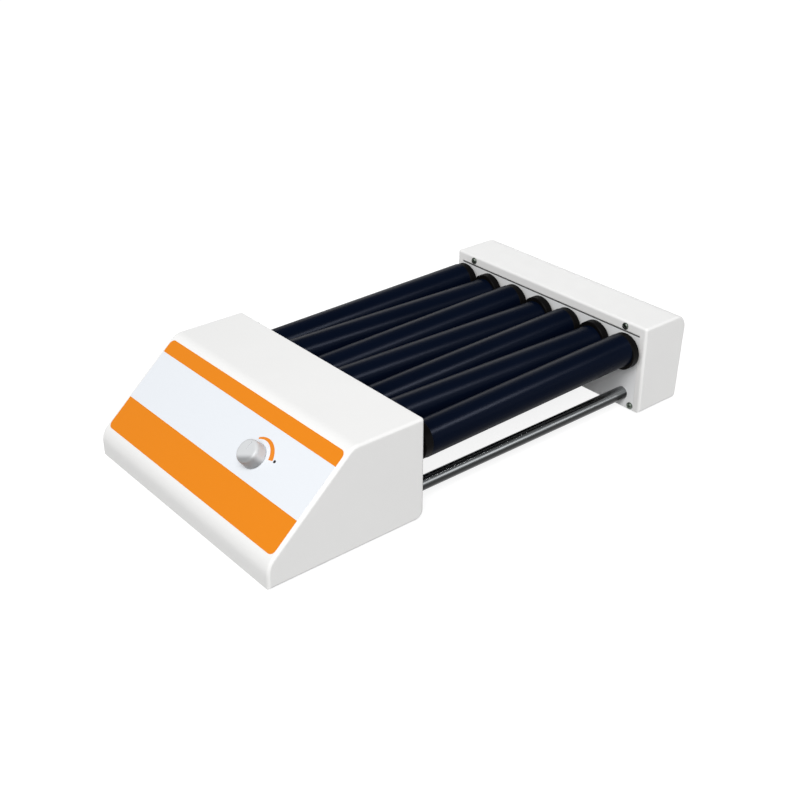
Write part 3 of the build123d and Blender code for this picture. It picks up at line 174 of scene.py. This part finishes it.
# ================================================================ node graphs
class Graph:
    """A material's node graph, built round one Principled shader."""

    def __init__(self, name, colour, roughness, metallic=0.0):
        self.material = bpy.data.materials.new(name)
        self.material.use_nodes = True
        self.tree = self.material.node_tree
        self.shader = self.tree.nodes["Principled BSDF"]
        self.shader.inputs["Base Color"].default_value = (*colour, 1.0)
        self.shader.inputs["Roughness"].default_value = roughness
        self.shader.inputs["Metallic"].default_value = metallic
        self.place = self.node("ShaderNodeTexCoord").outputs["Object"]

    def node(self, kind, **settings):
        """Add a node and set its plain properties."""
        made = self.tree.nodes.new(kind)
        for key, value in settings.items():
            setattr(made, key, value)
        return made

    def link(self, source, target):
        """Join two sockets."""
        self.tree.links.new(source, target)

    def stretched(self, scale):
        """The object's coordinates, scaled by (x, y, z)."""
        mapping = self.node("ShaderNodeMapping")
        mapping.inputs["Scale"].default_value = scale
        self.link(self.place, mapping.inputs["Vector"])
        return mapping.outputs["Vector"]

    def noise(self, scale, detail=2.0, stretch=None):
        """A noise texture's value, about scale features to the metre."""
        texture = self.node("ShaderNodeTexNoise")
        texture.inputs["Scale"].default_value = scale
        texture.inputs["Detail"].default_value = detail
        source = self.stretched(stretch) if stretch else self.place
        self.link(source, texture.inputs["Vector"])
        return texture.outputs["Fac"]

    def spread(self, value, low, high):
        """A 0 to 1 value spread between low and high."""
        ranged = self.node("ShaderNodeMapRange")
        ranged.inputs["From Min"].default_value = 0.3
        ranged.inputs["From Max"].default_value = 0.7
        ranged.inputs["To Min"].default_value = low
        ranged.inputs["To Max"].default_value = high
        self.link(value, ranged.inputs["Value"])
        return ranged.outputs["Result"]

    def facing(self, direction, start, end):
        """0 to 1 as the surface turns to face a direction, between two cosines."""
        cosine = self.node("ShaderNodeVectorMath", operation="DOT_PRODUCT")
        self.link(self.node("ShaderNodeNewGeometry").outputs["True Normal"], cosine.inputs[0])
        cosine.inputs[1].default_value = direction
        return self.ramp(cosine.outputs["Value"], start, end)

    def along(self, centre, direction, start, end):
        """0 to 1 along a direction from a centre, between two distances in metres."""
        offset = self.node("ShaderNodeVectorMath", operation="SUBTRACT")
        self.link(self.place, offset.inputs[0])
        offset.inputs[1].default_value = centre
        distance = self.node("ShaderNodeVectorMath", operation="DOT_PRODUCT")
        self.link(offset.outputs["Vector"], distance.inputs[0])
        distance.inputs[1].default_value = direction
        return self.ramp(distance.outputs["Value"], start, end)

    def ramp(self, value, start, end):
        """A value run smoothly from 0 at start to 1 at end."""
        ranged = self.node("ShaderNodeMapRange", interpolation_type="SMOOTHSTEP")
        ranged.inputs["From Min"].default_value = start
        ranged.inputs["From Max"].default_value = end
        self.link(value, ranged.inputs["Value"])
        return ranged.outputs["Result"]

    def mix(self, factor, first, second):
        """A colour between first and second. Either may be a colour or a socket."""
        mixed = self.node("ShaderNodeMix", data_type="RGBA")
        self.link(factor, mixed.inputs["Factor"])
        for socket, value in ((mixed.inputs["A"], first), (mixed.inputs["B"], second)):
            if isinstance(value, tuple):
                socket.default_value = (*value, 1.0)
            else:
                self.link(value, socket)
        return mixed.outputs["Result"]

    def colour(self, source):
        """Drive the base colour."""
        self.link(source, self.shader.inputs["Base Color"])

    def rough(self, source):
        """Drive the roughness."""
        self.link(source, self.shader.inputs["Roughness"])

    def bump(self, height, distance, strength=1.0):
        """Raise the surface by a height texture, distance in metres. Later bumps add to earlier ones."""
        bump = self.node("ShaderNodeBump")
        bump.inputs["Strength"].default_value = strength
        bump.inputs["Distance"].default_value = distance
        self.link(height, bump.inputs["Height"])
        if self.shader.inputs["Normal"].is_linked:
            self.link(self.shader.inputs["Normal"].links[0].from_socket, bump.inputs["Normal"])
        self.link(bump.outputs["Normal"], self.shader.inputs["Normal"])

    def set(self, **values):
        """Set shader sockets by name, with _ for spaces."""
        for name, value in values.items():
            self.shader.inputs[name.replace("_", " ")].default_value = value


def shade(colour, factor):
    """A colour made lighter or darker."""
    return tuple(channel * factor for channel in colour)


# ================================================================ materials
def moulded(name, colour, roughness, specular=0.5):
    """Moulded plastic: a fine spark grain, slight flow marks and a little uneven gloss."""
    graph = Graph(name, colour, roughness)
    flow = graph.noise(28.0, 3.0)
    graph.colour(graph.mix(flow, shade(colour, 0.975), shade(colour, 1.015)))
    graph.rough(graph.spread(graph.noise(90.0, 4.0), roughness - 0.04, roughness + 0.05))
    graph.bump(graph.noise(2600.0, 2.0), 0.00002, 0.35)
    graph.bump(graph.noise(14.0, 1.0), 0.0006, 0.06)
    graph.set(IOR=1.49, Specular_IOR_Level=specular)
    return graph.material


def shell_white():
    """The housings' white satin plastic, with painted shade greying it a little low on the front."""
    graph = Graph("housing_white", WHITE_SHELL, 0.42)
    flow = graph.noise(22.0, 3.0)
    clean = graph.mix(flow, shade(WHITE_SHELL, 0.985), shade(WHITE_SHELL, 1.01))
    split = graph.node("ShaderNodeSeparateXYZ")
    graph.link(graph.place, split.inputs["Vector"])
    low_down = graph.node("ShaderNodeMapRange")
    low_down.inputs["From Min"].default_value = LOW_FRONT_SHADE_TOP
    low_down.inputs["From Max"].default_value = LOW_FRONT_SHADE_BOTTOM
    graph.link(split.outputs["Z"], low_down.inputs["Value"])
    # Painted shade: the white is darkened low down on front-facing surfaces.
    low_front_shade_mask = graph.node("ShaderNodeMath", operation="MULTIPLY")
    graph.link(low_down.outputs["Result"], low_front_shade_mask.inputs[0])
    graph.link(graph.facing((0.0, -1.0, 0.0), 0.3, 0.95), low_front_shade_mask.inputs[1])
    graph.colour(graph.mix(low_front_shade_mask.outputs["Value"], clean, shade(WHITE_SHELL, LOW_FRONT_SHADE)))
    graph.rough(graph.spread(graph.noise(70.0, 4.0), 0.44, 0.54))
    graph.bump(graph.noise(3200.0, 2.0), 0.000018, 0.30)
    graph.bump(graph.noise(9.0, 1.0), 0.0008, 0.05)
    graph.set(IOR=1.50, Specular_IOR_Level=0.30)
    return graph.material


def knob_grey():
    """The knob's pale grey plastic, with painted shade darkening the lower side of its grip."""
    graph = Graph("knob_grey", KNOB_GREY, 0.36)
    flow = graph.mix(graph.noise(28.0, 3.0), shade(KNOB_GREY, 0.975), shade(KNOB_GREY, 1.015))
    # Painted shade on the knob's lower side.
    lower = graph.along(KNOB_CENTRE, KNOB_SHADE_DIRECTION, KNOB_SHADE_START, KNOB_SHADE_END)
    graph.colour(graph.mix(lower, flow, shade(KNOB_GREY, KNOB_SHADE)))
    graph.rough(graph.spread(graph.noise(90.0, 4.0), 0.32, 0.41))
    graph.bump(graph.noise(2600.0, 2.0), 0.00002, 0.35)
    graph.set(IOR=1.49)
    return graph.material


def powder_coat(name, colour, ledge_shade=1.0):
    """Powder-coated sheet: an orange-peel surface, with painted shade on its upward ledges where they lie
    in a seam.
    """
    graph = Graph(name, colour, 0.48)
    coat = graph.mix(graph.noise(35.0, 2.0), shade(colour, 0.97), shade(colour, 1.02))
    # Painted shade on upward-facing surfaces, standing in for the seam's shadow.
    graph.colour(graph.mix(graph.facing((0.0, 0.0, 1.0), 0.5, 0.9), coat, shade(colour, ledge_shade)))
    graph.rough(graph.spread(graph.noise(120.0, 3.0), 0.42, 0.54))
    graph.bump(graph.noise(900.0, 1.0), 0.00006, 0.30)
    return graph.material


def printed_film():
    """The panel film: two orange bands on pale blue-white, under a fine velvet texture."""
    graph = Graph("panel_film", FILM_WHITE, 0.38)
    along = graph.node("ShaderNodeVectorMath", operation="DOT_PRODUCT")
    graph.link(graph.place, along.inputs[0])
    along.inputs[1].default_value = PANEL_UP
    fraction = graph.node("ShaderNodeMapRange")
    fraction.inputs["From Min"].default_value = FILM_START
    fraction.inputs["From Max"].default_value = FILM_START + FILM_LENGTH
    graph.link(along.outputs["Value"], fraction.inputs["Value"])
    bands = graph.node("ShaderNodeValToRGB")
    ramp = bands.color_ramp
    ramp.interpolation = "CONSTANT"
    ramp.elements[0].position = 0.0
    ramp.elements[0].color = (*PRINT_ORANGE, 1.0)
    ramp.elements[1].position = LOWER_BAND_END / FILM_LENGTH
    ramp.elements[1].color = (*FILM_WHITE, 1.0)
    upper = ramp.elements.new(UPPER_BAND_START / FILM_LENGTH)
    upper.color = (*PRINT_ORANGE, 1.0)
    graph.link(fraction.outputs["Result"], bands.inputs["Fac"])
    graph.colour(bands.outputs["Color"])
    graph.rough(graph.spread(graph.noise(160.0, 4.0), 0.34, 0.43))
    graph.bump(graph.noise(4200.0, 1.0), 0.000010, 0.30)
    graph.set(IOR=1.52, Specular_IOR_Level=0.25)
    return graph.material


def printed_ink(name, colour):
    """Screen-printed ink."""
    graph = Graph(name, colour, 0.40)
    graph.colour(graph.mix(graph.noise(700.0, 3.0), shade(colour, 0.97), shade(colour, 1.03)))
    graph.bump(graph.noise(5200.0, 1.0), 0.000006, 0.3)
    return graph.material


def roller_skin():
    """The rollers' blue-black tube, satin, with drawing lines along it and light rubbing."""
    graph = Graph("roller_black", ROLLER_BLACK, 0.28)
    lines = graph.noise(420.0, 3.0, stretch=(1.0, 0.02, 1.0))
    rub = graph.noise(45.0, 4.0, stretch=(1.0, 0.25, 1.0))
    graph.colour(graph.mix(rub, ROLLER_BLACK, shade(ROLLER_BLACK, 1.6)))
    graph.rough(graph.spread(rub, 0.25, 0.32))
    graph.bump(lines, 0.00002, 0.15)
    graph.set(IOR=1.50, Specular_IOR_Level=ROLLER_SPECULAR, Specular_Tint=(*ROLLER_TINT, 1.0))
    return graph.material


def bright_metal(name, colour, roughness, stretch, underside_shade=1.0):
    """Polished or ground metal with faint lines along its length, with painted shade underneath where
    asked.
    """
    graph = Graph(name, colour, roughness, 1.0)
    lines = graph.noise(900.0, 3.0, stretch=stretch)
    graph.rough(graph.spread(lines, roughness * 0.75, roughness * 1.35))
    clean = graph.mix(graph.noise(60.0, 2.0), shade(colour, 0.96), colour)
    # Painted shade on downward-facing sides.
    shaded_beneath = graph.facing((0.0, 0.0, -1.0), UNDERSIDE_SHADE_START, UNDERSIDE_SHADE_END)
    graph.colour(graph.mix(shaded_beneath, clean, shade(colour, underside_shade)))
    return graph.material


def turned_metal(name, colour, roughness):
    """Turned metal: fine rings about Y."""
    return bright_metal(name, colour, roughness, (0.05, 1.0, 0.05))


def rubber(name):
    """Matt black rubber with a dusty bloom."""
    graph = Graph(name, RUBBER_BLACK, 0.78)
    bloom = graph.noise(110.0, 5.0)
    graph.colour(graph.mix(bloom, RUBBER_BLACK, shade(RUBBER_BLACK, 2.4)))
    graph.rough(graph.spread(bloom, 0.70, 0.88))
    graph.bump(graph.noise(1800.0, 2.0), 0.00004, 0.4)
    return graph.material


def circuit_board():
    """Green solder mask with copper tracks showing through it."""
    graph = Graph("board_green", BOARD_GREEN, 0.35)
    tracks = graph.node("ShaderNodeTexBrick")
    tracks.inputs["Scale"].default_value = 260.0
    tracks.inputs["Mortar Size"].default_value = 0.06
    tracks.inputs["Color1"].default_value = (*BOARD_GREEN, 1.0)
    tracks.inputs["Color2"].default_value = (*shade(BOARD_GREEN, 0.8), 1.0)
    tracks.inputs["Mortar"].default_value = (*shade(BOARD_GREEN, 1.9), 1.0)
    graph.link(graph.place, tracks.inputs["Vector"])
    graph.colour(tracks.outputs["Color"])
    graph.rough(graph.spread(graph.noise(200.0, 2.0), 0.30, 0.42))
    return graph.material


def paint(material, *nodes):
    """Give CAD nodes a material in all their slots."""
    for name in nodes:
        for slot in NODES[name].material_slots:
            slot.material = material


def dress_nodes():
    """Every CAD node's finish."""
    tubes = [f"roller_{number}_tube" for number in ROLLER_NUMBERS]
    hubs = [f"roller_{number}_{end}_hub" for number in ROLLER_NUMBERS for end in ("drive", "idle")]
    pulleys = [f"roller_{number}_pulley" for number in ROLLER_NUMBERS]
    paint(shell_white(), "head_cover", "end_cover")
    paint(powder_coat("plate_coat", PLATE_WHITE, SEAM_SHADE), "drive_bearing_plate", "end_bearing_plate")
    paint(bright_metal("zinc_sheet", ZINC, 0.38, (1.0, 0.05, 1.0)),
          "head_base_plate", "end_base_plate", "motor_bracket")
    paint(printed_film(), "front_overlay")
    paint(knob_grey(), "speed_knob")
    paint(roller_skin(), *tubes)
    paint(moulded("cap_black", CAP_BLACK, 0.38, CAP_SPECULAR), *hubs)
    paint(turned_metal("pulley_aluminium", CHROME, 0.30), *pulleys, "motor_pulley")
    paint(rubber("belt_rubber"), "drive_belt", "link_belts")
    paint(turned_metal("bush_bronze", BRONZE, 0.32), "drive_bearings", "idle_bearings")
    paint(bright_metal("rod_chrome", ROD_METAL, 0.24, (1.0, 0.02, 1.0), ROD_UNDERSIDE_SHADE),
          "left_tie_rod", "right_tie_rod")
    paint(bright_metal("fastener_steel", SCREW_STEEL, 0.42, (1.0, 1.0, 1.0)),
          "head_screws", "end_cover_screws", "tie_rod_nuts", "potentiometer_nut", "board_standoffs")
    paint(turned_metal("shaft_steel", CHROME, 0.20), "motor_shaft", "potentiometer_shaft")
    paint(powder_coat("motor_paint", MOTOR_GREY), "motor_body", "motor_gearbox", "potentiometer_body")
    paint(circuit_board(), "control_board")
    paint(moulded("electrical_black", PLASTIC_BLACK, 0.33), "power_inlet", "switch_frame", "switch_rocker")
    paint(rubber("foot_rubber"), "rubber_feet")


# ================================================================ pieces
def piece(name, mesh, material, body="frame"):
    """A new object that rides on a body."""
    made = bpy.data.objects.new(name, mesh)
    bpy.context.scene.collection.objects.link(made)
    made.data.materials.append(material)
    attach(made, body)
    return made


def panel_point(across, up, out):
    """A point given from the knob's centre: across the panel, up it, and out from its film."""
    return KNOB_CENTRE + across * PANEL_ACROSS + up * PANEL_UP + (FILM_THICKNESS + out) * PANEL_OUT


def thin_strip(name, inner, outer, thickness, place):
    """The closed mesh of a thin shape between two rows of points, each put at a height by place."""
    build = bmesh.new()
    edges = []
    for row, height in ((inner, thickness), (outer, thickness), (outer, 0.0), (inner, 0.0)):
        edges.append([build.verts.new(place(*point, height)) for point in row])
    for near, far in zip(edges, edges[1:] + edges[:1]):
        for index in range(len(inner) - 1):
            build.faces.new((near[index], near[index + 1], far[index + 1], far[index]))
    if math.dist(inner[0], inner[-1]) > MERGE_DISTANCE:
        for index in (0, -1):
            build.faces.new([edge[index] for edge in edges])
    bmesh.ops.remove_doubles(build, verts=build.verts, dist=MERGE_DISTANCE)
    bmesh.ops.recalc_face_normals(build, faces=build.faces)
    mesh = bpy.data.meshes.new(name)
    build.to_mesh(mesh)
    build.free()
    return mesh


def print_strip(name, inner, outer, material):
    """A thin printed shape between two rows of (across, up) points on the panel."""
    piece(name, thin_strip(name, inner, outer, PRINT_HEIGHT, panel_point), material)


def round_the_knob(angle, radius):
    """A point at an angle, in degrees from straight across, and a distance from the knob's centre."""
    turn = math.radians(angle)
    return (radius * math.cos(turn), radius * math.sin(turn))


def speed_arc():
    """The orange arc round the knob: it widens towards full speed."""
    inner = []
    outer = []
    for step in range(ARC_STEPS + 1):
        part = step / ARC_STEPS
        angle = ARC_START_ANGLE + (ARC_END_ANGLE - ARC_START_ANGLE) * part
        width = ARC_START_WIDTH + (ARC_END_WIDTH - ARC_START_WIDTH) * part
        inner.append(round_the_knob(angle, ARC_INNER_RADIUS))
        outer.append(round_the_knob(angle, ARC_INNER_RADIUS + width))
    print_strip("printed_speed_arc", inner, outer, printed_ink("ink_orange", PRINT_ORANGE))


def speed_dot():
    """The black dot at the arc's wide end."""
    across, up = round_the_knob(ARC_END_ANGLE, DOT_DISTANCE)
    upper = []
    lower = []
    for step in range(DOT_STEPS + 1):
        turn = math.pi * step / DOT_STEPS
        along = across - DOT_RADIUS * math.cos(turn)
        upper.append((along, up + DOT_RADIUS * math.sin(turn)))
        lower.append((along, up - DOT_RADIUS * math.sin(turn)))
    print_strip("printed_speed_dot", lower, upper, printed_ink("ink_black", PLASTIC_BLACK))


def on_rocker(along_y, up_z, height):
    """A point at a height off the rocker's outer face, met straight in from the machine's left."""
    start = Vector((cad_low.x, along_y, up_z))
    _, place, normal, _ = NODES["switch_rocker"].ray_cast(start, PANEL_ACROSS)
    return place + normal * height


def rocker_mark(name, inner, outer, material):
    """A thin moulded-in mark between two rows of (y, z) points on the rocker."""
    piece(name, thin_strip(name, inner, outer, MARK_HEIGHT, on_rocker), material, "power_rocker")


def rocker_marks():
    """The on bar and the off ring of the power switch."""
    ink = printed_ink("ink_white", MARK_WHITE)
    low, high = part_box("switch_rocker")
    middle = (low + high) / 2
    bar_z = middle.z + (high.z - low.z) * MARK_FROM_MIDDLE
    ring_z = middle.z - (high.z - low.z) * MARK_FROM_MIDDLE
    sides = [[(middle.y + side * BAR_WIDTH / 2, bar_z + end * BAR_LENGTH / 2) for end in (-1, 0, 1)]
             for side in (-1, 1)]
    rocker_mark("rocker_on_mark", sides[0], sides[1], ink)
    turns = [math.tau * step / RING_STEPS for step in range(RING_STEPS + 1)]
    rings = []
    for radius in (RING_RADIUS - BAR_WIDTH, RING_RADIUS):
        rings.append([(middle.y + radius * math.cos(turn), ring_z + radius * math.sin(turn))
                      for turn in turns])
    rocker_mark("rocker_off_mark", rings[0], rings[1], ink)


# ================================================================ screws
def islands(build):
    """The separate pieces of an open mesh, each as a list of its corners' places."""
    left = set(build.verts)
    found = []
    for start in build.verts:
        if start not in left:
            continue
        left.discard(start)
        group = [start]
        for vert in group:
            for edge in vert.link_edges:
                other = edge.other_vert(vert)
                if other in left:
                    left.discard(other)
                    group.append(other)
        found.append([vert.co.copy() for vert in group])
    return found


def head_top(corners):
    """The middle of a screw head's top and the way it faces, from the corners of the screw."""
    low = Vector([min(corner[axis] for corner in corners) for axis in range(3)])
    high = Vector([max(corner[axis] for corner in corners) for axis in range(3)])
    size = high - low
    along = max(range(3), key=lambda axis: size[axis])
    middle = (low + high) / 2
    wide = [corner[along] for corner in corners if near_rim(corner, middle, along, size)]
    towards = 1.0 if sum(wide) / len(wide) > middle[along] else -1.0
    top = middle.copy()
    top[along] = high[along] if towards > 0 else low[along]
    outward = Vector((0.0, 0.0, 0.0))
    outward[along] = towards
    return top, outward


def near_rim(corner, middle, along, size):
    """Whether a corner lies on the widest ring of a screw."""
    offset = corner - middle
    offset[along] = 0.0
    radius = sorted(size)[1] / 2
    return offset.length > HEAD_RIM * radius


def add_cross(build, top, outward):
    """Add the tapered cross that is cut into one head, as two bars joined in the mesh."""
    turned = Matrix.Translation(top) @ outward.to_track_quat("Z", "Y").to_matrix().to_4x4()
    for long_x, long_y in ((RECESS_LENGTH, RECESS_WIDTH), (RECESS_WIDTH, RECESS_LENGTH)):
        rows = []
        for height, taper in ((-RECESS_DEPTH, 1.0 - RECESS_TAPER), (RECESS_DEPTH, 1.0 + RECESS_TAPER)):
            rows.append([build.verts.new(turned @ Vector((side_x * long_x * taper / 2,
                                                          side_y * long_y * taper / 2, height)))
                         for side_x, side_y in ((-1, -1), (1, -1), (1, 1), (-1, 1))])
        build.faces.new(rows[0][::-1])
        build.faces.new(rows[1])
        for index in range(4):
            after = (index + 1) % 4
            build.faces.new((rows[0][index], rows[0][after], rows[1][after], rows[1][index]))


def recessed_screws(node):
    """The screws of one group with a cross recess cut in every head, in place of the plain ones."""
    source = NODES[node]
    build = bmesh.new()
    build.from_mesh(source.data)
    bmesh.ops.remove_doubles(build, verts=build.verts, dist=MERGE_DISTANCE)
    tops = [head_top(corners) for corners in islands(build)]
    build.free()
    crosses = bmesh.new()
    for top, outward in tops:
        add_cross(crosses, top, outward)
    cutter_mesh = bpy.data.meshes.new(f"{node}_crosses")
    crosses.to_mesh(cutter_mesh)
    crosses.free()
    cutter = bpy.data.objects.new(f"{node}_crosses", cutter_mesh)
    plain = bpy.data.objects.new(f"{node}_plain", source.data.copy())
    for made in (cutter, plain):
        bpy.context.scene.collection.objects.link(made)
    cut = plain.modifiers.new("recess", "BOOLEAN")
    cut.operation = "DIFFERENCE"
    cut.solver = "EXACT"
    cut.use_self = True
    cut.object = cutter
    bpy.context.view_layer.update()
    mesh = bpy.data.meshes.new_from_object(plain.evaluated_get(bpy.context.evaluated_depsgraph_get()))
    for made in (cutter, plain):
        bpy.data.objects.remove(made)
    material = source.material_slots[0].material
    mesh.materials.clear()
    screws = piece(f"{node}_recessed", mesh, material)
    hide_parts(node)


# ================================================================ studio
def floor():
    """A plain pale floor that shows white to the camera and keeps the object's shadow."""
    bpy.ops.mesh.primitive_plane_add(size=FLOOR_SIZE, location=(0.0, 0.0, -FLOOR_DROP))
    plane = bpy.context.object
    plane.name = "studio_floor"
    graph = Graph("studio_floor", (FLOOR_ALBEDO, FLOOR_ALBEDO, FLOOR_ALBEDO), 0.9)
    glow = graph.node("ShaderNodeEmission")
    glow.inputs["Color"].default_value = (*PURE_WHITE, 1.0)
    glow.inputs["Strength"].default_value = FLOOR_GLOW
    rays = graph.node("ShaderNodeLightPath")
    either = graph.node("ShaderNodeMath", operation="MAXIMUM")
    graph.link(rays.outputs["Is Camera Ray"], either.inputs[0])
    graph.link(rays.outputs["Is Glossy Ray"], either.inputs[1])
    all_three = graph.node("ShaderNodeMath", operation="MAXIMUM")
    graph.link(either.outputs["Value"], all_three.inputs[0])
    graph.link(rays.outputs["Is Transmission Ray"], all_three.inputs[1])
    nothing = graph.node("ShaderNodeEmission")
    nothing.inputs["Strength"].default_value = 0.0
    choose = graph.node("ShaderNodeMixShader")
    graph.link(all_three.outputs["Value"], choose.inputs["Fac"])
    graph.link(nothing.outputs["Emission"], choose.inputs[1])
    graph.link(glow.outputs["Emission"], choose.inputs[2])
    total = graph.node("ShaderNodeAddShader")
    graph.link(graph.shader.outputs["BSDF"], total.inputs[0])
    graph.link(choose.outputs["Shader"], total.inputs[1])
    graph.link(total.outputs["Shader"], graph.tree.nodes["Material Output"].inputs["Surface"])
    plane.data.materials.append(graph.material)


def background(tree, colour, strength):
    """A plain background shader."""
    made = tree.nodes.new("ShaderNodeBackground")
    made.inputs["Color"].default_value = (*colour, 1.0)
    made.inputs["Strength"].default_value = strength
    return made


def world():
    """Even grey-white light, seen as white by the camera."""
    made = bpy.data.worlds.new("studio")
    bpy.context.scene.world = made
    made.use_nodes = True
    tree = made.node_tree
    tree.nodes.clear()
    output = tree.nodes.new("ShaderNodeOutputWorld")
    light = background(tree, WORLD_COLOUR, WORLD_LIGHT)
    white = background(tree, PURE_WHITE, 1.0)
    rays = tree.nodes.new("ShaderNodeLightPath")
    choose = tree.nodes.new("ShaderNodeMixShader")
    tree.links.new(rays.outputs["Is Camera Ray"], choose.inputs["Fac"])
    tree.links.new(light.outputs["Background"], choose.inputs[1])
    tree.links.new(white.outputs["Background"], choose.inputs[2])
    tree.links.new(choose.outputs["Shader"], output.inputs["Surface"])


def lamp(name, place, aim, size, power):
    """A soft white rectangular lamp aimed at a point."""
    data = bpy.data.lights.new(name, "AREA")
    data.shape = "RECTANGLE"
    data.size, data.size_y = size
    data.energy = power
    made = bpy.data.objects.new(name, data)
    bpy.context.scene.collection.objects.link(made)
    made.location = place
    made.rotation_mode = "QUATERNION"
    made.rotation_quaternion = (Vector(aim) - Vector(place)).to_track_quat("-Z", "Y")
    return made


def lights():
    """A large soft key from the front right, two weak fills and a card that shows only in the rollers."""
    lamps = {name: lamp(name, *settings) for name, settings in LAMPS.items()}
    rollers = bpy.data.collections.new("rollers")
    for number in ROLLER_NUMBERS:
        rollers.objects.link(NODES[f"roller_{number}_tube"])
    lamps["reflection_card"].visible_diffuse = False
    lamps["reflection_card"].light_linking.receiver_collection = rollers


def camera():
    """The camera at the photograph's place, angle and focal length."""
    data = bpy.data.cameras.new("camera")
    data.sensor_width = SENSOR_MM
    data.lens = FOCAL_PIXELS / PHOTO_PIXELS * SENSOR_MM
    made = bpy.data.objects.new("camera", data)
    bpy.context.scene.collection.objects.link(made)
    turn = math.radians(CAMERA_AZIMUTH)
    rise = math.radians(CAMERA_ELEVATION)
    back = Vector((math.sin(turn) * math.cos(rise), -math.cos(turn) * math.cos(rise), math.sin(rise)))
    made.location = CAMERA_PLACE
    made.rotation_mode = "QUATERNION"
    made.rotation_quaternion = (-back).to_track_quat("-Z", "Y")
    bpy.context.scene.camera = made


dress_nodes()
speed_arc()
speed_dot()
rocker_marks()
recessed_screws("head_screws")
recessed_screws("end_cover_screws")
floor()
world()
lights()
camera()
bpy.context.scene.view_settings.view_transform = "Standard"
